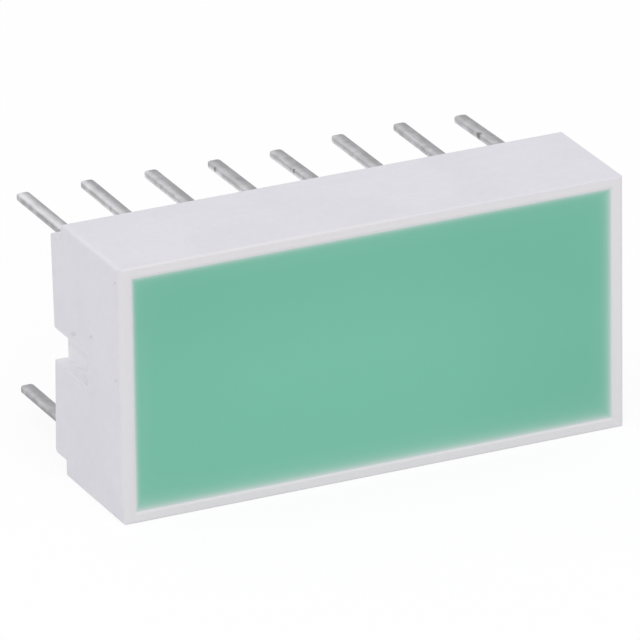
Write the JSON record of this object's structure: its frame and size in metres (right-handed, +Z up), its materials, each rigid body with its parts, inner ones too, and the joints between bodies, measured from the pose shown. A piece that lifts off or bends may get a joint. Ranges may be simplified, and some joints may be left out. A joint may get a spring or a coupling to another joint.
{
  "type": "led backlight module",
  "caption": "Rectangular through-hole light bar: white moulded housing, green diffused window, two rows of flat tinned leads pointing backwards.",
  "frame": {"origin": "middle of the lead grid, in the plane of the stand-off feet that meet the board", "axes": "+X along the length, +Y from the window to the leads, out of the back, +Z up from the long side that the part stands on"},
  "size_m": [0.0202, 0.0109, 0.0098],
  "materials": {
    "housing_plastic": "satin moulded white, with a faint lilac grey cast",
    "green_resin": "milky green diffusing resin, semi-gloss",
    "tinned_lead": "dull bright tin with small dark blemishes",
    "chip_crystal": "polished semiconductor crystal",
    "gold_wire": "bright gold"
  },
  "bodies": {
    "root": {"housing": "housing_plastic", "potting": "green_resin", "cathode_lead_a": "tinned_lead", "cathode_lead_b": "tinned_lead", "cathode_lead_c": "tinned_lead", "cathode_lead_d": "tinned_lead", "cathode_lead_e": "tinned_lead", "cathode_lead_f": "tinned_lead", "cathode_lead_g": "tinned_lead", "cathode_lead_h": "tinned_lead", "anode_lead_a": "tinned_lead", "anode_lead_b": "tinned_lead", "anode_lead_c": "tinned_lead", "anode_lead_d": "tinned_lead", "anode_lead_e": "tinned_lead", "anode_lead_f": "tinned_lead", "anode_lead_g": "tinned_lead", "anode_lead_h": "tinned_lead", "chip_a": "chip_crystal", "chip_b": "chip_crystal", "chip_c": "chip_crystal", "chip_d": "chip_crystal", "chip_e": "chip_crystal", "chip_f": "chip_crystal", "chip_g": "chip_crystal", "chip_h": "chip_crystal", "bond_wire_a": "gold_wire", "bond_wire_b": "gold_wire", "bond_wire_c": "gold_wire", "bond_wire_d": "gold_wire", "bond_wire_e": "gold_wire", "bond_wire_f": "gold_wire", "bond_wire_g": "gold_wire", "bond_wire_h": "gold_wire"}
  },
  "joints": []
}
